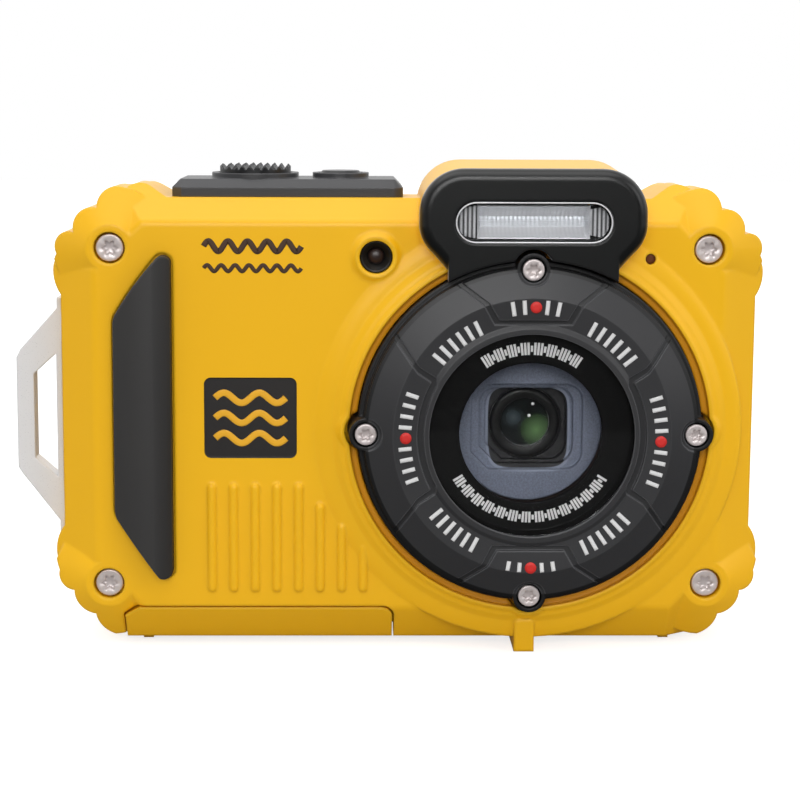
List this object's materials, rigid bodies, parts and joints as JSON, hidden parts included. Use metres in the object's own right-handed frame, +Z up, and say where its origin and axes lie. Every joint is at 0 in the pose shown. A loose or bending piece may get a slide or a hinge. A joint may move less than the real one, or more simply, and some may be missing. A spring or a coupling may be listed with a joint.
{
  "type": "compact digital camera",
  "caption": "Compact waterproof digital camera with a folded internal zoom lens behind a screwed window ring, front flash, spiked shutter button and hinged battery door.",
  "frame": {"origin": "middle of the tripod socket's mouth in the camera's underside", "axes": "+Z up out of the camera's top, +X to the right for someone who faces the front, +Y from the lens to the display side; the lens looks along -Y"},
  "size_m": [0.1119, 0.0296, 0.0728],
  "materials": {
    "shell_yellow": "satin gloss, moulded",
    "grip_rubber": "matte",
    "ring_grey": "satin",
    "black_plastic": "gloss",
    "dark_plastic": "matte",
    "lens_box": "matte",
    "baffle_grey": "fine grained matte",
    "window_clear": "polished",
    "mask_black": "printed",
    "lens_glass": "coated",
    "flash_clear": "clear",
    "reflector_metal": "mirror",
    "screw_steel": "turned",
    "lug_steel": "polished",
    "socket_steel": "turned",
    "seal_rubber": "soft matte",
    "orange_plastic": "satin",
    "display_black": "polished",
    "panel_grey": "matte",
    "key_grey": "satin",
    "board_green": "solder mask",
    "capacitor_black": "sleeved",
    "battery_grey": "wrapped cell",
    "card_blue": "matte",
    "motor_steel": "plain"
  },
  "bodies": {
    "camera": {"front_shell": "shell_yellow", "rear_shell": "shell_yellow", "shell_gasket": "seal_rubber", "corner_screws": "screw_steel", "lens_ring_screws": "screw_steel", "grip_pad": "grip_rubber", "lens_ring": "ring_grey", "window_glass": "window_clear", "window_mask": "mask_black", "window_seal": "seal_rubber", "lens_baffle": "baffle_grey", "lens_bezel": "black_plastic", "front_element": "lens_glass", "lens_housing": "lens_box", "prism": "lens_glass", "guide_rods": "motor_steel", "image_sensor": "panel_grey", "zoom_motor": "motor_steel", "flash_bezel": "black_plastic", "flash_window": "flash_clear", "flash_reflector": "reflector_metal", "flash_tube": "lens_glass", "flash_capacitor": "capacitor_black", "timer_lamp": "black_plastic", "microphone": "dark_plastic", "control_plate": "black_plastic", "top_switches": "board_green", "strap_lug": "lug_steel", "lug_pins": "screw_steel", "hinge_pin": "screw_steel", "battery_bay": "dark_plastic", "battery": "battery_grey", "memory_card": "card_blue", "usb_port": "motor_steel", "tripod_socket": "socket_steel", "display_window": "display_black", "display_panel": "panel_grey", "main_board": "board_green", "speaker": "dark_plastic"},
    "door": {"battery_door": "shell_yellow", "door_gasket": "seal_rubber"},
    "latch": {"door_latch": "dark_plastic"},
    "lock": {"door_lock": "orange_plastic"},
    "shutter": {"shutter_button": "dark_plastic"},
    "power": {"power_button": "dark_plastic"},
    "zoom_lens": {"zoom_group": "lens_box"},
    "focus_lens": {"focus_group": "lens_box"},
    "zoom_drive": {"lead_screw": "motor_steel"},
    "tele": {"tele_key": "key_grey"},
    "wide": {"wide_key": "key_grey"},
    "record": {"record_key": "orange_plastic"},
    "playback": {"playback_key": "key_grey"},
    "up": {"up_key": "key_grey"},
    "down": {"down_key": "key_grey"},
    "left": {"left_key": "key_grey"},
    "right": {"right_key": "key_grey"},
    "set": {"set_key": "key_grey"},
    "menu": {"menu_key": "key_grey"},
    "delete": {"delete_key": "key_grey"}
  },
  "joints": [
    {"name": "door_hinge", "type": "hinge", "parent": "camera", "child": "door", "pos_m": [-0.02575, 0.0022, 0.0017], "axis": [1, 0, 0], "range_deg": [0, 95]},
    {"name": "latch_slide", "type": "slide", "parent": "door", "child": "latch", "axis": [1, 0, 0], "range_m": [0, 0.0025]},
    {"name": "lock_slide", "type": "slide", "parent": "latch", "child": "lock", "axis": [0, 1, 0], "range_m": [0, 0.0012]},
    {"name": "shutter_press", "type": "slide", "parent": "camera", "child": "shutter", "axis": [0, 0, -1], "range_m": [0, 0.0008], "stiffness_N_per_m": 700, "springref_m": -0.0005},
    {"name": "power_press", "type": "slide", "parent": "camera", "child": "power", "axis": [0, 0, -1], "range_m": [0, 0.0005], "stiffness_N_per_m": 600, "springref_m": -0.0004},
    {"name": "zoom_slide", "type": "slide", "parent": "camera", "child": "zoom_lens", "axis": [0, 0, 1], "range_m": [0, 0.0076]},
    {"name": "focus_slide", "type": "slide", "parent": "camera", "child": "focus_lens", "axis": [0, 0, 1], "range_m": [0, 0.0026]},
    {"name": "screw_spin", "type": "hinge", "parent": "camera", "child": "zoom_drive", "pos_m": [0.0235, -0.0036, 0.021], "axis": [0, 0, 1], "range_deg": [0, 2740]},
    {"name": "tele_press", "type": "slide", "parent": "camera", "child": "tele", "axis": [0, -1, 0], "range_m": [0, 0.0004], "stiffness_N_per_m": 600, "springref_m": -0.0003},
    {"name": "wide_press", "type": "slide", "parent": "camera", "child": "wide", "axis": [0, -1, 0], "range_m": [0, 0.0004], "stiffness_N_per_m": 600, "springref_m": -0.0003},
    {"name": "record_press", "type": "slide", "parent": "camera", "child": "record", "axis": [0, -1, 0], "range_m": [0, 0.0004], "stiffness_N_per_m": 600, "springref_m": -0.0003},
    {"name": "playback_press", "type": "slide", "parent": "camera", "child": "playback", "axis": [0, -1, 0], "range_m": [0, 0.0004], "stiffness_N_per_m": 600, "springref_m": -0.0003},
    {"name": "up_press", "type": "slide", "parent": "camera", "child": "up", "axis": [0, -1, 0], "range_m": [0, 0.0004], "stiffness_N_per_m": 600, "springref_m": -0.0003},
    {"name": "down_press", "type": "slide", "parent": "camera", "child": "down", "axis": [0, -1, 0], "range_m": [0, 0.0004], "stiffness_N_per_m": 600, "springref_m": -0.0003},
    {"name": "left_press", "type": "slide", "parent": "camera", "child": "left", "axis": [0, -1, 0], "range_m": [0, 0.0004], "stiffness_N_per_m": 600, "springref_m": -0.0003},
    {"name": "right_press", "type": "slide", "parent": "camera", "child": "right", "axis": [0, -1, 0], "range_m": [0, 0.0004], "stiffness_N_per_m": 600, "springref_m": -0.0003},
    {"name": "set_press", "type": "slide", "parent": "camera", "child": "set", "axis": [0, -1, 0], "range_m": [0, 0.0004], "stiffness_N_per_m": 600, "springref_m": -0.0003},
    {"name": "menu_press", "type": "slide", "parent": "camera", "child": "menu", "axis": [0, -1, 0], "range_m": [0, 0.0004], "stiffness_N_per_m": 600, "springref_m": -0.0003},
    {"name": "delete_press", "type": "slide", "parent": "camera", "child": "delete", "axis": [0, -1, 0], "range_m": [0, 0.0004], "stiffness_N_per_m": 600, "springref_m": -0.0003}
  ],
  "couplings": [
    {"joint": "screw_spin", "follows": "zoom_slide", "rad_per_m": 6283.2}
  ]
}
